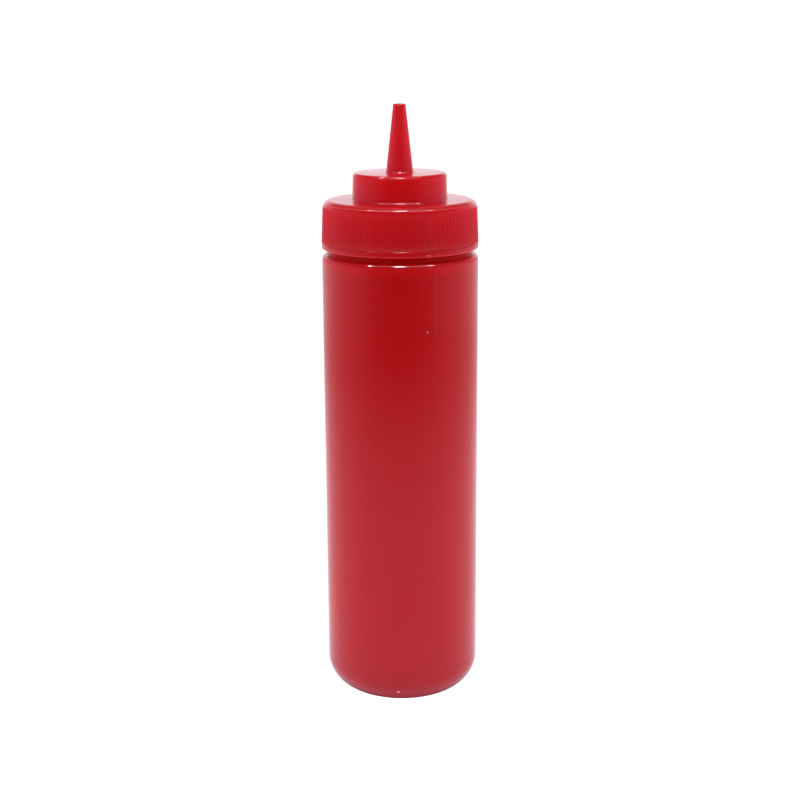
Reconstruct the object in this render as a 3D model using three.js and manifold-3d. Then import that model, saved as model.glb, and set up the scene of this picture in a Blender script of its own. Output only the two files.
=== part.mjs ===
// Condiment squeeze bottle: a straight round bottle with a rounded foot, a shoulder and a short neck,
// and a moulded screw cap with a finely ribbed skirt, a raised disc and a tapered nozzle. Millimetres,
// +Z up, the foot stands on z = 0 and the axis is x = y = 0.
import * as THREE from 'three';
import { mergeVertices } from 'three/addons/utils/BufferGeometryUtils.js';
import Module from 'manifold-3d';

// Bottle
const BODY_RADIUS = 33.6;
const FOOT_ROUND = 13.4;
const SHOULDER_TOP = 196.9;
const SHOULDER_ROUND = 2.2;
const NECK_RADIUS = 31.2;
const NECK_TOP = 199.05;
const BODY_SIDES = 96;

// Lip at the bottom of the cap
const CAP_GAP = 0.3;
const LIP_BOTTOM = NECK_TOP + CAP_GAP;
const LIP_RADIUS = 33.7;
const LIP_BOTTOM_ROUND = 0.8;
const LIP_TOP = 202.05;
const LIP_TOP_ROUND = 0.5;
const LIP_TOP_SPAN = 60;

// Ribbed skirt, which widens downwards
const RIB_COUNT = 256;
const RIB_BOTTOM = 201.95;
const RIB_TOP = 216.4;
const RIB_RUN_OUT = 0.2;
const RIB_TIP_BOTTOM = 33.7;
const RIB_TIP_TOP = 33.05;
const RIB_DEPTH = 0.16;
const RIB_SINK = 0.25;

// Top of the cap
const CAP_TOP = 220;
const CAP_TOP_ROUND = 3.5;
const CAP_TOP_RADIUS = 33.05;
const CAP_SIDES = 72;

// Raised disc on the cap
const DISC_TOP = 231.35;
const DISC_TOP_ROUND = 1.5;
const DISC_RADIUS_TOP = 20.08;
const DISC_RADIUS_FOOT = 20.35;
const DISC_FOOT_ROUND = 0.5;

// Nozzle, with the outlet in its tip
const TIP_TOP = 260;
const TIP_RADIUS = 2.64;
const TIP_ROUND = 0.7;
const NOZZLE_SLOPE = 0.111;
const NOZZLE_FOOT_ROUND = 0.9;
const OUTLET_RADIUS = 1.3;
const OUTLET_EDGE = 0.2;
const OUTLET_DEPTH = 12;

// Points of a quarter round or a fillet about (radius, height), between two angles in degrees
function arc(radius, height, size, from, to, steps) {
  const points = [];
  for (let i = 0; i <= steps; i += 1) {
    const angle = THREE.MathUtils.degToRad(from + ((to - from) * i) / steps);
    points.push(new THREE.Vector2(radius + size * Math.cos(angle), height + size * Math.sin(angle)));
  }
  return points;
}

function at(radius, height) {
  return new THREE.Vector2(radius, height);
}

function nozzleRadius(height) {
  return TIP_RADIUS + NOZZLE_SLOPE * (TIP_TOP - height);
}

// A solid of revolution about Z from a profile that starts and ends on the axis
function turned(profile, sides) {
  const geometry = new THREE.LatheGeometry(profile, sides);
  geometry.rotateX(Math.PI / 2);
  return geometry;
}

function bottleProfile() {
  return [
    at(0, 0),
    ...arc(BODY_RADIUS - FOOT_ROUND, FOOT_ROUND, FOOT_ROUND, -90, 0, 9),
    ...arc(BODY_RADIUS - SHOULDER_ROUND, SHOULDER_TOP - SHOULDER_ROUND, SHOULDER_ROUND, 0, 90, 6),
    at(NECK_RADIUS, SHOULDER_TOP),
    at(NECK_RADIUS, NECK_TOP),
    at(0, NECK_TOP),
  ];
}

function capProfile() {
  const lipCentre = LIP_RADIUS - LIP_BOTTOM_ROUND;
  const edgeCentre = LIP_RADIUS - LIP_TOP_ROUND;
  const edgeHeight = LIP_TOP - LIP_TOP_ROUND * Math.sin(THREE.MathUtils.degToRad(LIP_TOP_SPAN));
  const filletHeight = DISC_TOP + NOZZLE_FOOT_ROUND;
  const tipHeight = TIP_TOP - TIP_ROUND;
  return [
    at(0, LIP_BOTTOM),
    ...arc(lipCentre, LIP_BOTTOM + LIP_BOTTOM_ROUND, LIP_BOTTOM_ROUND, -90, 0, 4),
    ...arc(edgeCentre, edgeHeight, LIP_TOP_ROUND, 0, LIP_TOP_SPAN, 3),
    at(RIB_TIP_BOTTOM - RIB_DEPTH - RIB_SINK, LIP_TOP),
    at(RIB_TIP_TOP - RIB_DEPTH - RIB_SINK, RIB_TOP - RIB_RUN_OUT),
    ...arc(CAP_TOP_RADIUS - CAP_TOP_ROUND, CAP_TOP - CAP_TOP_ROUND, CAP_TOP_ROUND, 0, 90, 6),
    ...arc(DISC_RADIUS_FOOT + DISC_FOOT_ROUND, CAP_TOP + DISC_FOOT_ROUND, DISC_FOOT_ROUND, 270, 180, 3),
    ...arc(DISC_RADIUS_TOP - DISC_TOP_ROUND, DISC_TOP - DISC_TOP_ROUND, DISC_TOP_ROUND, 0, 90, 5),
    ...arc(nozzleRadius(filletHeight) + NOZZLE_FOOT_ROUND, filletHeight, NOZZLE_FOOT_ROUND, 270, 180, 3),
    ...arc(nozzleRadius(tipHeight) - TIP_ROUND, tipHeight, TIP_ROUND, 0, 90, 3),
    at(OUTLET_RADIUS + OUTLET_EDGE, TIP_TOP),
    at(OUTLET_RADIUS, TIP_TOP - OUTLET_EDGE),
    at(OUTLET_RADIUS, TIP_TOP - OUTLET_DEPTH),
    at(0, TIP_TOP - OUTLET_DEPTH),
  ];
}

// The ribs as one toothed ring, narrower at the top
function ribRing() {
  const outline = new THREE.Shape();
  for (let i = 0; i < RIB_COUNT * 2; i += 1) {
    const radius = i % 2 === 0 ? RIB_TIP_BOTTOM : RIB_TIP_BOTTOM - RIB_DEPTH;
    const angle = (Math.PI * i) / RIB_COUNT;
    const x = radius * Math.cos(angle);
    const y = radius * Math.sin(angle);
    if (i === 0) {
      outline.moveTo(x, y);
    } else {
      outline.lineTo(x, y);
    }
  }
  outline.closePath();
  const height = RIB_TOP - RIB_BOTTOM;
  const geometry = new THREE.ExtrudeGeometry(outline, { depth: height, bevelEnabled: false });
  const position = geometry.attributes.position;
  for (let i = 0; i < position.count; i += 1) {
    const level = position.getZ(i) / height;
    const scale = THREE.MathUtils.lerp(1, RIB_TIP_TOP / RIB_TIP_BOTTOM, level);
    position.setXYZ(i, position.getX(i) * scale, position.getY(i) * scale, RIB_BOTTOM + position.getZ(i));
  }
  return geometry;
}

const wasm = await Module();
wasm.setup();

function toManifold(geometry) {
  const bare = geometry.clone();
  bare.deleteAttribute('normal');
  bare.deleteAttribute('uv');
  const merged = mergeVertices(bare, 1e-4);
  return new wasm.Manifold(new wasm.Mesh({
    numProp: 3,
    vertProperties: new Float32Array(merged.attributes.position.array),
    triVerts: new Uint32Array(merged.index.array),
  }));
}

function toGeometry(solid) {
  const mesh = solid.getMesh();
  const geometry = new THREE.BufferGeometry();
  geometry.setAttribute('position', new THREE.BufferAttribute(new Float32Array(mesh.vertProperties), 3));
  geometry.setIndex(new THREE.BufferAttribute(new Uint32Array(mesh.triVerts), 1));
  geometry.computeVertexNormals();
  return geometry;
}

const bottlePlastic = new THREE.MeshStandardMaterial({ color: 0xb0151d, roughness: 0.3, metalness: 0 });
const capPlastic = new THREE.MeshStandardMaterial({ color: 0xb41620, roughness: 0.34, metalness: 0 });

const bottle = new THREE.Mesh(turned(bottleProfile(), BODY_SIDES), bottlePlastic);
bottle.name = 'bottle';

const capSolid = toManifold(turned(capProfile(), CAP_SIDES)).add(toManifold(ribRing()));
const cap = new THREE.Mesh(toGeometry(capSolid), capPlastic);
cap.name = 'cap';

const part = new THREE.Group();
part.name = 'squeeze_bottle';
part.add(bottle, cap);

export default part;
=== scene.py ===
"""Condiment squeeze bottle: the dressed bottle and cap, their studio and the camera.

Metres, +Z up, the axis is x = y = 0 and the front is towards -Y.
"""

import math

import bmesh
import bpy
from mathutils import Matrix, Vector


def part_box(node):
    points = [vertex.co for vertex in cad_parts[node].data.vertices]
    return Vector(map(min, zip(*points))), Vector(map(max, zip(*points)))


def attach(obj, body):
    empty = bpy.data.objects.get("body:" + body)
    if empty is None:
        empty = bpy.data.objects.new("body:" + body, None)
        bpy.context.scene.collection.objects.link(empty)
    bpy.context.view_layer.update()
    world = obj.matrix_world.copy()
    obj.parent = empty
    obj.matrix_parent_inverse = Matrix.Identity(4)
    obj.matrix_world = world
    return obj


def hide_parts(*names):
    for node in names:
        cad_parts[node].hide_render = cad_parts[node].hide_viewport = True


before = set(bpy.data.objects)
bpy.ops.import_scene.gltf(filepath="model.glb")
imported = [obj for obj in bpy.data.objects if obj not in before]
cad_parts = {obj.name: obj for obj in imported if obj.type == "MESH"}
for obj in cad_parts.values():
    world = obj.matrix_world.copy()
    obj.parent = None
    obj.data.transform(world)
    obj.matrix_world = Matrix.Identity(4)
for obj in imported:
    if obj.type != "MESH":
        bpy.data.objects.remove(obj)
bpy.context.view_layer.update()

FRONT = math.radians(-90)
SHARP_EDGE = 40

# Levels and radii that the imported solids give
bottle_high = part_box("bottle")[1]
cap_low, cap_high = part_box("cap")
BODY_RADIUS = bottle_high.x
NECK_TOP = bottle_high.z
LIP_BOTTOM = cap_low.z
RIB_TIP_BOTTOM = cap_high.x
TIP_TOP = cap_high.z

# Bottle
FOOT_ROUND = 0.0134
FOOT_STEPS = 24
SHOULDER_TOP = 0.1969
SHOULDER_ROUND = 0.0022
SHOULDER_STEPS = 16
NECK_RADIUS = 0.0312
NECK_FILLET = 0.0002
NECK_STEPS = 4
BODY_SIDES = 256
WALL_STEPS = 24
SEAM_ANGLE = FRONT + math.radians(24)
SEAM_HEIGHT = 0.00005
SEAM_WIDTH = 0.0004
SEAM_REACH = math.radians(1.6)
SEAM_STEPS = 16

# Lip at the bottom of the cap
LIP_RADIUS = 0.0337
LIP_BOTTOM_ROUND = 0.0008
LIP_TOP = 0.20205
LIP_TOP_ROUND = 0.0005
LIP_TOP_SPAN = 60
LIP_STEPS = 8

# Ribbed skirt, which widens downwards
RIB_COUNT = 256
RIB_POINTS = 8
RIB_BOTTOM = 0.20205
RIB_TOP = 0.2175
RIB_TIP_TOP = 0.03305
RIB_DEPTH = 0.00016
RIB_INSET = 0.00025
RIB_LOWER_END = 0.0002
RIB_UPPER_END = 0.0004
RIB_END_SHARES = (0, 0.5, 1)
RIB_LEVELS = (0.25, 0.5, 0.75)

# Top of the cap, with a soft edge round its rim; angles in degrees
CAP_TOP = 0.22
RIM_START = 20
RIM_EDGE_START = 30
RIM_EDGE_END = 46
RIM_LOWER_ROUND = 0.0063
RIM_EDGE_ROUND = 0.0015
RIM_STEPS = 8
RIM_TOP_STEPS = 12

# Raised disc on the cap
DISC_TOP = 0.23135
DISC_TOP_ROUND = 0.0015
DISC_TOP_STEPS = 16
DISC_RADIUS_TOP = 0.02008
DISC_RADIUS_FOOT = 0.02035
DISC_FOOT_ROUND = 0.0008
DISC_FOOT_STEPS = 10

# Nozzle, with the outlet in its tip
TIP_RADIUS = 0.00264
TIP_ROUND = 0.0007
NOZZLE_SLOPE = 0.111
NOZZLE_FOOT_ROUND = 0.0009
NOZZLE_STEPS = 8
OUTLET_RADIUS = 0.0013
OUTLET_EDGE = 0.0002
OUTLET_DEPTH = 0.012

# Half-round nib on the lip
NIB_ANGLE = FRONT + math.radians(20.2)
NIB_WIDTH = 0.0034
NIB_TALL = 0.0013
NIB_BOTTOM = 0.1996
NIB_RISE = 0.0005
NIB_SUNK = 0.0004
NIB_SHRINK = 0.45
NIB_STEPS = 20
NIB_LAYERS = 6
NIB_SHARP_EDGE = 50

# Plastics
BOTTLE_DEEP_RED = (0.455, 0.004, 0.006, 1)
BOTTLE_PALE_RED = (0.495, 0.005, 0.007, 1)
BOTTLE_ROUGHNESS = 0.09
BOTTLE_GRAIN = 0.1
BOTTLE_GLOW_DEPTH = 0.003
CAP_DEEP_RED = (0.56, 0.004, 0.007, 1)
CAP_PALE_RED = (0.60, 0.005, 0.009, 1)
CAP_ROUGHNESS = 0.1
CAP_GRAIN = 0.12
CAP_GLOW_DEPTH = 0.005
# The nib's reds are painted paler than the cap's, standing in for the light its face reflects
NIB_DEEP_RED = (0.62, 0.03, 0.04, 1)
NIB_PALE_RED = (0.68, 0.04, 0.05, 1)
NIB_ROUGHNESS = 0.2
NIB_GRAIN = 0.12
NIB_GLOW_DEPTH = 0.003
PLASTIC_IOR = 1.5
GLOW_SHARE = 0.3
GLOW_RADIUS = (1.0, 0.12, 0.1)
MOTTLE_SCALE = 55.0
MOTTLE_DETAIL = 4.0
MOTTLE_ROUGHNESS = 0.55
PATCH_SCALE = 140.0
PATCH_DETAIL = 3.0
PATCH_SPREAD = 0.03
GRAIN_SCALE = 1500.0
GRAIN_DETAIL = 2.0
GRAIN_HEIGHT = 0.00002
EVEN_ROUGHNESS = 0.5

# Surface marks and painted light and shade; a fade is two places, then the levels before and after them
GROOVE = (SHOULDER_TOP - 0.0003, SHOULDER_TOP + 0.0002)
# Painted shade: the recessed groove under the lip is darkened, and given less gloss, because it lies in
# shade
GROOVE_SHADE = (*GROOVE, 1.0, 0.8)
GROOVE_SHINE = (*GROOVE, 0.5, 0.06)
# Painted light: the wall just under the shoulder is brightened, standing in for light glowing through the
# plastic there
PAINTED_SHOULDER_GLOW = (0.189, 0.1955, 1.0, 1.2)
# Painted light: the cap is brightened towards its top, standing in for light shining through its slender
# upper walls
PAINTED_TOP_GLOW = (0.2, 0.228, 0.88, 1.25)
# Painted shade in the valleys between the ribs and painted light on their crests
RIB_SHADE_BELOW = (RIB_BOTTOM, RIB_BOTTOM + RIB_LOWER_END, 0.0, 0.16)
RIB_SHADE_ABOVE = (RIB_TOP - 0.0015, RIB_TOP, 1.0, 0.2)
RIM_EDGE = 0.2187
# Painted highlight: a pale line along the soft edge of the rim
RIM_PAINTED_HIGHLIGHT = (0.0, 0.0004, 0.16, 0.0)
FOOT_SPECK = (-0.0018, -0.032, 0.0071)
FOOT_SPECK_SIZE = 0.0009
WALL_SPECK = (0.0112, -0.0317, 0.1683)
WALL_SPECK_SIZE = 0.0004
SPECK_CORE = 0.4
PALE_PINK = (0.9, 0.4, 0.42, 1.0)

# Camera
CAMERA_DISTANCE = 0.653
CAMERA_HEIGHT = 0.2952
CAMERA_PITCH = math.radians(14.067)
CAMERA_ROLL = math.radians(-0.335)
CAMERA_YAW = math.radians(0.037)
CAMERA_LENS = 68.76
CAMERA_SENSOR = 36

# White surroundings in the picture
WHITE = (1.0, 1.0, 1.0, 1.0)
WHITE_GLOW = 1.2
FLOOR_SIZE = 8.0
FLOOR_SEGMENTS = 4
FLOOR_DROP = 0.0001
BACKDROP_RADIUS = 9.0
BACKDROP_SEGMENTS = 48

# Pool of light on the floor, as fades by distance from the axis or by the way round to the back
POOL_NEAR = (0.12, 0.5, 1.45, 0.0)
POOL_DIP = (0.02, 0.09, -1.1, 0.0)
POOL_SPREAD = (0.12, 0.5, 0.0, 1.0)
POOL_BACK = (0.0, 0.4, 0.35, 1.35)

# Tent that the gloss mirrors
TENT_RADIUS = 1.5
TENT_HEIGHT = 2.1
TENT_BEND = 0.3
TENT_LIFT = 0.0005
TENT_SIDES = 96
TENT_STEPS = 12
TENT_FRONT_WHITE = (0.96, 0.94, 1.22, 1.0)
TENT_SIDE_WHITE = (0.92, 0.88, 1.35, 1.0)
TENT_BACK_WHITE = (1.0, 0.98, 1.04, 1.0)

# Glow of the tent's ground, as fades by distance from the axis or by the way round to the back
GROUND_NEAR = (0.2, 0.8, 0.55, 0.04)
GROUND_CLOSE = (0.0, 0.15, 0.14, 0.0)
GROUND_FOOT_SHADE = (0.025, 0.034, 0.05, 1.0)
GROUND_REACH = 1.0
GROUND_BACK_GAIN = 0.28
GROUND_BACK_BASE = 0.45
GROUND_EDGE = (0.11, 0.2, -0.02, 0.06)
GROUND_EDGE_REACH = (0.65, 0.95, 0.0, 1.0)

# Glow of the tent's wall, as fades by height or by the way round to the back
WALL_BACK_GAIN = 0.42
WALL_SCREEN = (0.9, 0.97, 0.0, 0.4)
WALL_HAZE = (0.2, 0.4, 0.0, 0.12)
WALL_FLANKS = (0.05, 0.35, 0.0, 0.13)
WALL_RISE = (0.0, 0.1, 0.0, 1.0)
WALL_DIM = (0.45, 1.1, 1.0, 0.25)
COOL_RISE = (0.02, 0.12, 0.0, 1.0)
COOL_FLANKS = (0.75, 0.92, 1.0, 0.0)

# Lamps
COOL_WHITE = (0.95, 0.93, 1.0)
STRIP_PLACE = (0, -0.56, 1.9)
STRIP_WIDTH = 1.9
STRIP_DEPTH = 0.25
STRIP_RADIANCE = 4.8
LAMP_DEPTH = 0.2
MIDDLE_PLACE = (0, -0.7, 1.85)
MIDDLE_WIDTH = 0.38
MIDDLE_RADIANCE = 135
LEFT_PLACE = (-0.96, -0.37, 1.85)
RIGHT_PLACE = (0.96, -0.37, 1.85)
SIDE_WIDTH = 0.1
SIDE_RADIANCE = 210

# Light from all round, by direction
WORLD_FRONT = -1.0
WORLD_BACK = 0.6
WORLD_FRONT_LEVEL = 0.7
WORLD_BACK_LEVEL = 1.25
WORLD_OVERHEAD = (0.1, 0.8, 1.0, 0.85)


def arc(radius, height, size, start, end, steps):
    """Profile points of a round or a fillet about (radius, height), between two angles in degrees."""
    points = []
    for i in range(steps + 1):
        angle = math.radians(start + (end - start) * i / steps)
        points.append((radius + size * math.cos(angle), height + size * math.sin(angle)))
    return points


def bend(points, size, start, end, steps):
    """Carry a profile on from its last point, round a curve between two angles in degrees."""
    turn = math.radians(start)
    radius = points[-1][0] - size * math.cos(turn)
    height = points[-1][1] - size * math.sin(turn)
    points += arc(radius, height, size, start, end, steps)[1:]


def even_angles(count):
    return [2 * math.pi * i / count for i in range(count)]


def circle(radius, height, count):
    if radius == 0:
        return [(0, 0, height)]
    return [(radius * math.cos(a), radius * math.sin(a), height) for a in even_angles(count)]


def stretch(ring, step, steps):
    """The points of a ring along one step of so many, both ends included."""
    if len(ring) == 1:
        return ring
    each = len(ring) // steps
    return [ring[(step * each + i) % len(ring)] for i in range(each + 1)]


def skin(name, rings):
    """A closed mesh through rings, where a ring may have several times its neighbour's points."""
    mesh = bmesh.new()
    made = [[mesh.verts.new(point) for point in ring] for ring in rings]
    for lower, upper in zip(made, made[1:]):
        steps = min(len(ring) for ring in (lower, upper) if len(ring) > 1)
        for step in range(steps):
            face = stretch(lower, step, steps) + stretch(upper, step, steps)[::-1]
            mesh.faces.new(face)
    return finished(name, mesh, SHARP_EDGE)


def finished(name, mesh, sharp):
    """An object from a mesh, smooth except where faces meet at more than so many degrees."""
    bmesh.ops.recalc_face_normals(mesh, faces=mesh.faces)
    data = bpy.data.meshes.new(name)
    mesh.to_mesh(data)
    mesh.free()
    data.shade_smooth()
    data.set_sharp_from_angle(angle=math.radians(sharp))
    piece = bpy.data.objects.new(name, data)
    bpy.context.collection.objects.link(piece)
    return piece


def seam_rise(angle):
    """Height of the two parting lines above the wall at an angle."""
    rise = 0
    for seam in (SEAM_ANGLE, SEAM_ANGLE + math.pi):
        away = math.remainder(angle - seam, 2 * math.pi) * BODY_RADIUS
        rise += SEAM_HEIGHT * math.exp(-((away / SEAM_WIDTH) ** 2))
    return rise


def bottle_angles():
    """Even angles, with more of them at the parting lines."""
    angles = []
    for a in even_angles(BODY_SIDES):
        near = min(abs(math.remainder(a - SEAM_ANGLE - turn, 2 * math.pi)) for turn in (0, math.pi))
        if near > SEAM_REACH:
            angles.append(a)
    for turn in (0, math.pi):
        for i in range(SEAM_STEPS + 1):
            a = SEAM_ANGLE + turn + SEAM_REACH * (2 * i / SEAM_STEPS - 1)
            angles.append(a % (2 * math.pi))
    return sorted(angles)


def bottle_profile(raised):
    """The bottle's profile, raised by so much where it stands upright and not on its flat faces."""
    foot = BODY_RADIUS - FOOT_ROUND
    shoulder = SHOULDER_TOP - SHOULDER_ROUND
    wall = []
    for i in range(1, WALL_STEPS):
        wall.append((BODY_RADIUS, FOOT_ROUND + (shoulder - FOOT_ROUND) * i / WALL_STEPS))
    points = arc(foot, FOOT_ROUND, FOOT_ROUND, -90, 0, FOOT_STEPS) + wall
    points += arc(BODY_RADIUS - SHOULDER_ROUND, shoulder, SHOULDER_ROUND, 0, 90, SHOULDER_STEPS)
    neck = SHOULDER_TOP + NECK_FILLET
    points += arc(NECK_RADIUS + NECK_FILLET, neck, NECK_FILLET, 270, 180, NECK_STEPS)
    points.append((NECK_RADIUS, NECK_TOP))
    lifted = []
    for radius, height in points:
        upright = max(0, (radius - foot) / FOOT_ROUND)
        lifted.append((radius + raised * upright, height))
    return lifted


def make_bottle():
    angles = bottle_angles()
    profiles = [bottle_profile(seam_rise(a)) for a in angles]
    rings = [[(0, 0, 0)]]
    for level in range(len(profiles[0])):
        ring = []
        for a, profile in zip(angles, profiles):
            radius, height = profile[level]
            ring.append((radius * math.cos(a), radius * math.sin(a), height))
        rings.append(ring)
    rings.append([(0, 0, NECK_TOP)])
    return skin("bottle_wall", rings)


def lip_profile():
    lower = LIP_BOTTOM + LIP_BOTTOM_ROUND
    upper = LIP_TOP - LIP_TOP_ROUND * math.sin(math.radians(LIP_TOP_SPAN))
    points = arc(LIP_RADIUS - LIP_BOTTOM_ROUND, lower, LIP_BOTTOM_ROUND, -90, 0, LIP_STEPS)
    points += arc(LIP_RADIUS - LIP_TOP_ROUND, upper, LIP_TOP_ROUND, 0, LIP_TOP_SPAN, LIP_STEPS)
    return points


def rib_ring(height, deep, inset):
    """One ring of the skirt, with round valleys so deep between crests that are set in by so much."""
    level = (height - RIB_BOTTOM) / (RIB_TOP - RIB_BOTTOM)
    tip = RIB_TIP_BOTTOM + (RIB_TIP_TOP - RIB_TIP_BOTTOM) * level - inset
    points = []
    for i, a in enumerate(even_angles(RIB_COUNT * RIB_POINTS)):
        valley = 0.5 - 0.5 * math.cos(2 * math.pi * i / RIB_POINTS)
        radius = tip - RIB_DEPTH * deep * valley
        points.append((radius * math.cos(a), radius * math.sin(a), height))
    return points


def rib_rings():
    """The skirt's rings: the ribs grow out of the lip, run straight and slope off at their upper ends."""
    rings = []
    for share in RIB_END_SHARES:
        rings.append(rib_ring(RIB_BOTTOM + RIB_LOWER_END * share, share, RIB_INSET * (1 - share)))
    for share in RIB_LEVELS:
        rings.append(rib_ring(RIB_BOTTOM + (RIB_TOP - RIB_BOTTOM) * share, 1, 0))
    for share in reversed(RIB_END_SHARES):
        rings.append(rib_ring(RIB_TOP - RIB_UPPER_END * share, share, RIB_DEPTH * (1 - share)))
    return rings


def rim_profile():
    """From the upper ends of the ribs round the rim to the flat top."""
    points = [(RIB_TIP_TOP - RIB_DEPTH, RIB_TOP)]
    bend(points, RIM_LOWER_ROUND, RIM_START, RIM_EDGE_START, RIM_STEPS)
    bend(points, RIM_EDGE_ROUND, RIM_EDGE_START, RIM_EDGE_END, RIM_STEPS)
    rest = CAP_TOP - points[-1][1]
    bend(points, rest / (1 - math.sin(math.radians(RIM_EDGE_END))), RIM_EDGE_END, 90, RIM_TOP_STEPS)
    return points[1:]


def disc_profile():
    foot = CAP_TOP + DISC_FOOT_ROUND
    edge = DISC_TOP - DISC_TOP_ROUND
    points = arc(DISC_RADIUS_FOOT + DISC_FOOT_ROUND, foot, DISC_FOOT_ROUND, 270, 180, DISC_FOOT_STEPS)
    points += arc(DISC_RADIUS_TOP - DISC_TOP_ROUND, edge, DISC_TOP_ROUND, 0, 90, DISC_TOP_STEPS)
    return points


def nozzle_radius(height):
    return TIP_RADIUS + NOZZLE_SLOPE * (TIP_TOP - height)


def nozzle_profile():
    """From the nozzle's foot up to its tip and down into the outlet."""
    foot = DISC_TOP + NOZZLE_FOOT_ROUND
    tip = TIP_TOP - TIP_ROUND
    points = arc(nozzle_radius(foot) + NOZZLE_FOOT_ROUND, foot, NOZZLE_FOOT_ROUND, 270, 180, NOZZLE_STEPS)
    points += arc(nozzle_radius(tip) - TIP_ROUND, tip, TIP_ROUND, 0, 90, NOZZLE_STEPS)
    points.append((OUTLET_RADIUS + OUTLET_EDGE, TIP_TOP))
    points.append((OUTLET_RADIUS, TIP_TOP - OUTLET_EDGE))
    points.append((OUTLET_RADIUS, TIP_TOP - OUTLET_DEPTH))
    return points


def make_cap():
    top = rim_profile() + disc_profile() + nozzle_profile()
    rings = [circle(0, LIP_BOTTOM, 1)]
    rings += [circle(radius, height, RIB_COUNT) for radius, height in lip_profile()]
    rings += rib_rings()
    rings += [circle(radius, height, RIB_COUNT) for radius, height in top]
    rings.append(circle(0, TIP_TOP - OUTLET_DEPTH, 1))
    return skin("cap_shell", rings)


def nib_layers():
    """Size and depth of the nib's layers, from inside the lip to its front."""
    layers = [(1.0, -NIB_SUNK)]
    for i in range(NIB_LAYERS + 1):
        turn = math.pi / 2 * i / NIB_LAYERS
        layers.append((1 - NIB_SHRINK * (1 - math.cos(turn)), NIB_RISE * math.sin(turn)))
    return layers


def nib_loop(mesh, scale, depth):
    """One half-round layer of the nib, bent round the lip."""
    radius = LIP_RADIUS + depth
    loop = []
    for i in range(NIB_STEPS + 1):
        turn = math.pi * i / NIB_STEPS
        along = scale * NIB_WIDTH / 2 * math.cos(turn)
        height = NIB_BOTTOM + (1 - scale) * NIB_TALL / 2 + scale * NIB_TALL * math.sin(turn)
        a = NIB_ANGLE + along / LIP_RADIUS
        loop.append(mesh.verts.new((radius * math.cos(a), radius * math.sin(a), height)))
    return loop


def make_nib():
    mesh = bmesh.new()
    loops = [nib_loop(mesh, scale, depth) for scale, depth in nib_layers()]
    for back, front in zip(loops, loops[1:]):
        count = len(back)
        for i in range(count):
            following = (i + 1) % count
            mesh.faces.new((back[i], back[following], front[following], front[i]))
    mesh.faces.new(loops[0][::-1])
    mesh.faces.new(loops[-1])
    return finished("lip_nib", mesh, NIB_SHARP_EDGE)


def node(tree, kind, **values):
    """A node with its settings; a socket is named by its label, with spaces as underscores."""
    made = tree.nodes.new(kind)
    for name, value in values.items():
        label = name.replace("_", " ")
        if label in made.inputs:
            made.inputs[label].default_value = value
        else:
            setattr(made, name, value)
    return made


def calc(tree, operation, *values, clamp=False):
    """A math node's output from numbers or sockets."""
    made = node(tree, "ShaderNodeMath", operation=operation, use_clamp=clamp)
    for socket, value in zip(made.inputs, values):
        if isinstance(value, (int, float)):
            socket.default_value = value
        else:
            tree.links.new(value, socket)
    return made.outputs["Value"]


def fade(tree, value, start, end, first, last):
    """A smooth change from one level to another between two places."""
    made = node(tree, "ShaderNodeMapRange", interpolation_type="SMOOTHSTEP")
    made.inputs["From Min"].default_value = start
    made.inputs["From Max"].default_value = end
    made.inputs["To Min"].default_value = first
    made.inputs["To Max"].default_value = last
    tree.links.new(value, made.inputs["Value"])
    return made.outputs["Result"]


def noise(tree, scale, detail, roughness):
    """Noise by place on the object."""
    made = node(tree, "ShaderNodeTexNoise", Scale=scale, Detail=detail, Roughness=roughness)
    tree.links.new(node(tree, "ShaderNodeTexCoord").outputs["Object"], made.inputs["Vector"])
    return made.outputs["Fac"]


def place_parts(tree):
    """The place on the object as x, y and z."""
    split = node(tree, "ShaderNodeSeparateXYZ")
    tree.links.new(node(tree, "ShaderNodeTexCoord").outputs["Object"], split.inputs["Vector"])
    return [split.outputs[name] for name in "XYZ"]


def mixed(tree, first, second, share):
    """A mix of two colours, where the first may be a socket."""
    mix = node(tree, "ShaderNodeMix", data_type="RGBA")
    if isinstance(first, tuple):
        mix.inputs["A"].default_value = first
    else:
        tree.links.new(first, mix.inputs["A"])
    mix.inputs["B"].default_value = second
    tree.links.new(share, mix.inputs["Factor"])
    return mix.outputs["Result"]


def plastic(name, deep, pale, roughness, grain, glow_depth):
    """Moulded red plastic: faint mottling, uneven gloss and a fine moulded grain."""
    material = bpy.data.materials.new(name)
    material.use_nodes = True
    tree = material.node_tree
    link = tree.links.new
    shader = tree.nodes["Principled BSDF"]
    shader.inputs["IOR"].default_value = PLASTIC_IOR
    shader.inputs["Subsurface Weight"].default_value = GLOW_SHARE
    shader.inputs["Subsurface Radius"].default_value = GLOW_RADIUS
    shader.inputs["Subsurface Scale"].default_value = glow_depth

    mottle = noise(tree, MOTTLE_SCALE, MOTTLE_DETAIL, MOTTLE_ROUGHNESS)
    link(mixed(tree, deep, pale, mottle), shader.inputs["Base Color"])

    uneven = node(tree, "ShaderNodeMapRange")
    uneven.inputs["To Min"].default_value = roughness - PATCH_SPREAD
    uneven.inputs["To Max"].default_value = roughness + PATCH_SPREAD
    link(noise(tree, PATCH_SCALE, PATCH_DETAIL, EVEN_ROUGHNESS), uneven.inputs["Value"])
    link(uneven.outputs["Result"], shader.inputs["Roughness"])

    bump = node(tree, "ShaderNodeBump", Strength=grain, Distance=GRAIN_HEIGHT)
    link(noise(tree, GRAIN_SCALE, GRAIN_DETAIL, EVEN_ROUGHNESS), bump.inputs["Height"])
    link(bump.outputs["Normal"], shader.inputs["Normal"])
    return material


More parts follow.
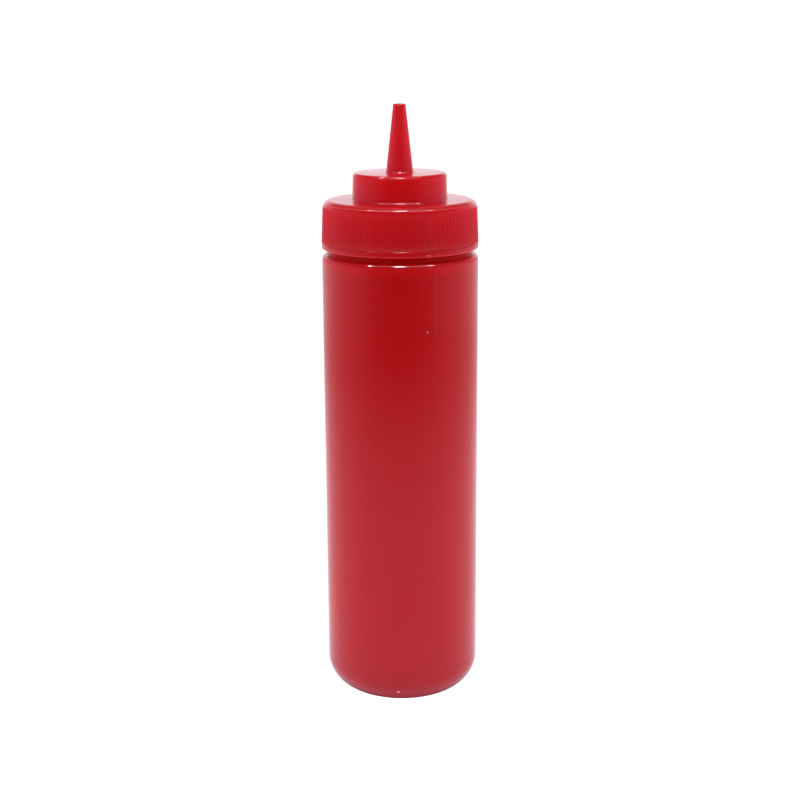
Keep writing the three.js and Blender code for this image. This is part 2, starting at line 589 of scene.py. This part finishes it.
def tone(material, shade):
    """Multiply a material's colour by a shade that goes with the place."""
    tree = material.node_tree
    socket = tree.nodes["Principled BSDF"].inputs["Base Color"]
    scaled = node(tree, "ShaderNodeVectorMath", operation="SCALE")
    tree.links.new(socket.links[0].from_socket, scaled.inputs[0])
    tree.links.new(shade, scaled.inputs["Scale"])
    tree.links.new(scaled.outputs["Vector"], socket)


def paint(material, colour, share):
    """Mix a colour into a material's own by a share that goes with the place."""
    tree = material.node_tree
    socket = tree.nodes["Principled BSDF"].inputs["Base Color"]
    tree.links.new(mixed(tree, socket.links[0].from_socket, colour, share), socket)


def speck(material, place, size):
    """A small pale spot in the surface."""
    tree = material.node_tree
    away = node(tree, "ShaderNodeVectorMath", operation="DISTANCE")
    tree.links.new(node(tree, "ShaderNodeTexCoord").outputs["Object"], away.inputs[0])
    away.inputs[1].default_value = place
    paint(material, PALE_PINK, fade(tree, away.outputs["Value"], size * SPECK_CORE, size, 1.0, 0.0))


def painted_rim_highlight(material):
    """A painted highlight: a pale line along the soft edge round the cap's rim."""
    tree = material.node_tree
    away = calc(tree, "ABSOLUTE", calc(tree, "SUBTRACT", place_parts(tree)[2], RIM_EDGE))
    paint(material, PALE_PINK, fade(tree, away, *RIM_PAINTED_HIGHLIGHT))


def bottle_plastic():
    """The bottle's red, painted brighter just under the shoulder, with painted shade and less gloss in the
    groove above it, and two pale specks.
    """
    reds = (BOTTLE_DEEP_RED, BOTTLE_PALE_RED)
    material = plastic("bottle_red", *reds, BOTTLE_ROUGHNESS, BOTTLE_GRAIN, BOTTLE_GLOW_DEPTH)
    tree = material.node_tree
    height = place_parts(tree)[2]
    # Painted shade in the groove under the lip, with its gloss lowered as well
    tone(material, fade(tree, height, *GROOVE_SHADE))
    # Painted light just under the shoulder
    tone(material, fade(tree, height, *PAINTED_SHOULDER_GLOW))
    shine = fade(tree, height, *GROOVE_SHINE)
    tree.links.new(shine, tree.nodes["Principled BSDF"].inputs["Specular IOR Level"])
    speck(material, FOOT_SPECK, FOOT_SPECK_SIZE)
    speck(material, WALL_SPECK, WALL_SPECK_SIZE)
    return material


def cap_plastic():
    """The cap's red, with painted light brightening it towards its top, painted shade between the ribs and
    painted light on their crests, and a painted highlight along the rim's edge.
    """
    reds = (CAP_DEEP_RED, CAP_PALE_RED)
    material = plastic("cap_red", *reds, CAP_ROUGHNESS, CAP_GRAIN, CAP_GLOW_DEPTH)
    tree = material.node_tree
    x, y, height = place_parts(tree)
    # Painted light, brighter towards the top of the cap
    top_glow = fade(tree, height, *PAINTED_TOP_GLOW)
    wave = calc(tree, "COSINE", calc(tree, "MULTIPLY", calc(tree, "ARCTAN2", y, x), RIB_COUNT))
    below = fade(tree, height, *RIB_SHADE_BELOW)
    above = fade(tree, height, *RIB_SHADE_ABOVE)
    # Painted shade in the rib valleys and painted light on the crests, following the angle round the axis
    ribs = calc(tree, "MULTIPLY_ADD", wave, calc(tree, "MULTIPLY", below, above), 1.0)
    tone(material, calc(tree, "MULTIPLY", top_glow, ribs))
    # Painted highlight along the rim's edge
    painted_rim_highlight(material)
    return material


def nib_plastic():
    """The cap's red, painted paler to stand in for the brighter light that the nib's face reflects."""
    return plastic("nib_red", NIB_DEEP_RED, NIB_PALE_RED, NIB_ROUGHNESS, NIB_GRAIN, NIB_GLOW_DEPTH)


def dress(piece, material, slot, *nodes):
    piece.data.materials.append(material)
    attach(piece, "root")
    if nodes:
        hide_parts(*nodes)


def make_camera():
    data = bpy.data.cameras.new("camera")
    data.lens = CAMERA_LENS
    data.sensor_width = CAMERA_SENSOR
    camera = bpy.data.objects.new("camera", data)
    bpy.context.collection.objects.link(camera)
    tilt = Matrix.Rotation(math.radians(90) - CAMERA_PITCH, 4, "X")
    turn = Matrix.Rotation(CAMERA_YAW, 4, "Z") @ tilt @ Matrix.Rotation(CAMERA_ROLL, 4, "Z")
    camera.matrix_world = Matrix.Translation((0, -CAMERA_DISTANCE, CAMERA_HEIGHT)) @ turn
    bpy.context.scene.camera = camera


def round_the_axis(tree):
    """Distance from the axis, share of the way round to the back, and height."""
    x, y, height = place_parts(tree)
    flat = node(tree, "ShaderNodeCombineXYZ")
    tree.links.new(x, flat.inputs["X"])
    tree.links.new(y, flat.inputs["Y"])
    length = node(tree, "ShaderNodeVectorMath", operation="LENGTH")
    tree.links.new(flat.outputs["Vector"], length.inputs[0])
    away = length.outputs["Value"]
    back = calc(tree, "MULTIPLY_ADD", calc(tree, "DIVIDE", y, away), 0.5, 0.5, clamp=True)
    return away, back, height


def glowing(name):
    """A material that only glows, with its tree and its emission node."""
    material = bpy.data.materials.new(name)
    material.use_nodes = True
    tree = material.node_tree
    tree.nodes.clear()
    glow = node(tree, "ShaderNodeEmission", Color=WHITE, Strength=WHITE_GLOW)
    output = node(tree, "ShaderNodeOutputMaterial")
    tree.links.new(glow.outputs["Emission"], output.inputs["Surface"])
    return material, tree, glow


def make_stage(name, mesh, material):
    """A piece of the studio that neither shows in the gloss nor throws a shadow."""
    piece = finished(name, mesh, SHARP_EDGE)
    piece.data.materials.append(material)
    piece.visible_glossy = False
    piece.visible_transmission = False
    piece.visible_shadow = False
    return piece


def make_ground(name, drop, material):
    mesh = bmesh.new()
    segments = FLOOR_SEGMENTS
    bmesh.ops.create_grid(mesh, x_segments=segments, y_segments=segments, size=FLOOR_SIZE / 2)
    ground = make_stage(name, mesh, material)
    ground.location.z = -drop
    return ground


def make_backdrop():
    """White all round in the picture."""
    mesh = bmesh.new()
    around = BACKDROP_SEGMENTS
    bmesh.ops.create_uvsphere(mesh, u_segments=around, v_segments=around // 2, radius=BACKDROP_RADIUS)
    backdrop = make_stage("backdrop", mesh, glowing("backdrop_white")[0])
    backdrop.visible_diffuse = False


def pool_glow():
    """Light from the floor: bright near the object but not right under it, and behind it."""
    material, tree, glow = glowing("floor_pool")
    away, back = round_the_axis(tree)[:2]
    near = calc(tree, "ADD", fade(tree, away, *POOL_NEAR), fade(tree, away, *POOL_DIP))
    far = fade(tree, back, *POOL_BACK)
    level = calc(tree, "MULTIPLY_ADD", far, fade(tree, away, *POOL_SPREAD), near)
    tree.links.new(level, glow.inputs["Strength"])
    return material


def make_floor():
    """The white floor in the picture, and the pool of light that it throws on the walls."""
    floor = make_ground("floor", FLOOR_DROP, glowing("floor_white")[0])
    floor.visible_diffuse = False
    pool = make_ground("floor_pool", 2 * FLOOR_DROP, pool_glow())
    pool.visible_camera = False


def ground_level(tree, away, back):
    """Glow of the tent's ground: brighter near the object and to the back, dark under the foot."""
    near = calc(tree, "ADD", fade(tree, away, *GROUND_NEAR), fade(tree, away, *GROUND_CLOSE))
    reach = calc(tree, "MINIMUM", away, GROUND_REACH)
    gain = calc(tree, "MULTIPLY_ADD", reach, GROUND_BACK_GAIN, GROUND_BACK_BASE)
    level = calc(tree, "MULTIPLY_ADD", gain, back, near)
    edge = fade(tree, back, *GROUND_EDGE)
    edge = calc(tree, "MULTIPLY", edge, fade(tree, away, *GROUND_EDGE_REACH))
    level = calc(tree, "ADD", level, edge)
    return calc(tree, "MULTIPLY", level, fade(tree, away, *GROUND_FOOT_SHADE))


def wall_level(tree, back, height):
    """Glow of the tent's wall: brighter to the back, with a bright screen right behind."""
    level = calc(tree, "MULTIPLY_ADD", back, WALL_BACK_GAIN, fade(tree, back, *WALL_SCREEN))
    haze = fade(tree, height, *WALL_HAZE)
    return calc(tree, "ADD", level, calc(tree, "ADD", haze, fade(tree, back, *WALL_FLANKS)))


def tent_tint(tree, back, height):
    """The tent's white: cool at the front and cooler on the upright sides."""
    front_to_back = mixed(tree, TENT_FRONT_WHITE, TENT_BACK_WHITE, back)
    upright = fade(tree, height, *COOL_RISE)
    share = calc(tree, "MULTIPLY", upright, fade(tree, back, *COOL_FLANKS))
    return mixed(tree, front_to_back, TENT_SIDE_WHITE, share)


def tent_glow():
    """The tent's glow by place: ground below, wall above it, dimmer overhead."""
    material, tree, glow = glowing("tent_glow")
    link = tree.links.new
    away, back, height = round_the_axis(tree)
    level = node(tree, "ShaderNodeMix")
    link(fade(tree, height, *WALL_RISE), level.inputs["Factor"])
    link(ground_level(tree, away, back), level.inputs["A"])
    link(wall_level(tree, back, height), level.inputs["B"])
    dim = fade(tree, height, *WALL_DIM)
    link(calc(tree, "MULTIPLY", level.outputs["Result"], dim), glow.inputs["Strength"])
    link(tent_tint(tree, back, height), glow.inputs["Color"])
    return material


def make_tent():
    """The tent that the gloss mirrors; the camera looks through it and it gives no other light."""
    flat = TENT_RADIUS - TENT_BEND
    rings = [circle(0, TENT_LIFT, 1)]
    for i in range(1, TENT_STEPS + 1):
        rings.append(circle(flat * i / TENT_STEPS, TENT_LIFT, TENT_SIDES))
    for radius, height in arc(flat, TENT_BEND + TENT_LIFT, TENT_BEND, -90, 0, TENT_STEPS)[1:]:
        rings.append(circle(radius, height, TENT_SIDES))
    rings.append(circle(TENT_RADIUS, TENT_HEIGHT, TENT_SIDES))
    rings.append(circle(0, TENT_HEIGHT, 1))
    tent = skin("tent", rings)
    tent.data.materials.append(tent_glow())
    tent.visible_camera = False
    tent.visible_diffuse = False
    tent.visible_transmission = False
    tent.visible_shadow = False


def make_lamp(name, place, width, depth, radiance):
    """A rectangular lamp of a given brightness that faces the cap and shows only in the gloss."""
    data = bpy.data.lights.new(name, "AREA")
    data.shape = "RECTANGLE"
    data.size = width
    data.size_y = depth
    data.energy = math.pi * width * depth * radiance
    data.color = COOL_WHITE
    lamp = bpy.data.objects.new(name, data)
    bpy.context.collection.objects.link(lamp)
    aim = Vector((0, 0, CAP_TOP)) - Vector(place)
    lamp.location = place
    lamp.rotation_euler = aim.to_track_quat("-Z", "Y").to_euler()
    lamp.visible_camera = False
    lamp.visible_diffuse = False


def make_lights():
    """A wide dim strip, and three small lamps along it."""
    make_lamp("strip", STRIP_PLACE, STRIP_WIDTH, STRIP_DEPTH, STRIP_RADIANCE)
    make_lamp("lamp_middle", MIDDLE_PLACE, MIDDLE_WIDTH, LAMP_DEPTH, MIDDLE_RADIANCE)
    make_lamp("lamp_left", LEFT_PLACE, SIDE_WIDTH, LAMP_DEPTH, SIDE_RADIANCE)
    make_lamp("lamp_right", RIGHT_PLACE, SIDE_WIDTH, LAMP_DEPTH, SIDE_RADIANCE)


def make_world():
    """White all round, dimmer towards the front and overhead."""
    world = bpy.data.worlds.new("studio")
    world.use_nodes = True
    tree = world.node_tree
    split = node(tree, "ShaderNodeSeparateXYZ")
    tree.links.new(node(tree, "ShaderNodeTexCoord").outputs["Generated"], split.inputs["Vector"])
    level = node(tree, "ShaderNodeMapRange", From_Min=WORLD_FRONT, From_Max=WORLD_BACK)
    level.inputs["To Min"].default_value = WORLD_FRONT_LEVEL
    level.inputs["To Max"].default_value = WORLD_BACK_LEVEL
    tree.links.new(split.outputs["Y"], level.inputs["Value"])
    overhead = fade(tree, split.outputs["Z"], *WORLD_OVERHEAD)
    strength = calc(tree, "MULTIPLY", level.outputs["Result"], overhead)
    background = tree.nodes["Background"]
    background.inputs["Color"].default_value = WHITE
    tree.links.new(strength, background.inputs["Strength"])
    bpy.context.scene.world = world
    bpy.context.scene.view_settings.view_transform = "Standard"


def main():
    make_camera()
    dress(make_bottle(), bottle_plastic(), "bottle_plastic", "bottle")
    dress(make_cap(), cap_plastic(), "cap_plastic", "cap")
    dress(make_nib(), nib_plastic(), "cap_plastic")
    make_backdrop()
    make_floor()
    make_tent()
    make_lights()
    make_world()


main()
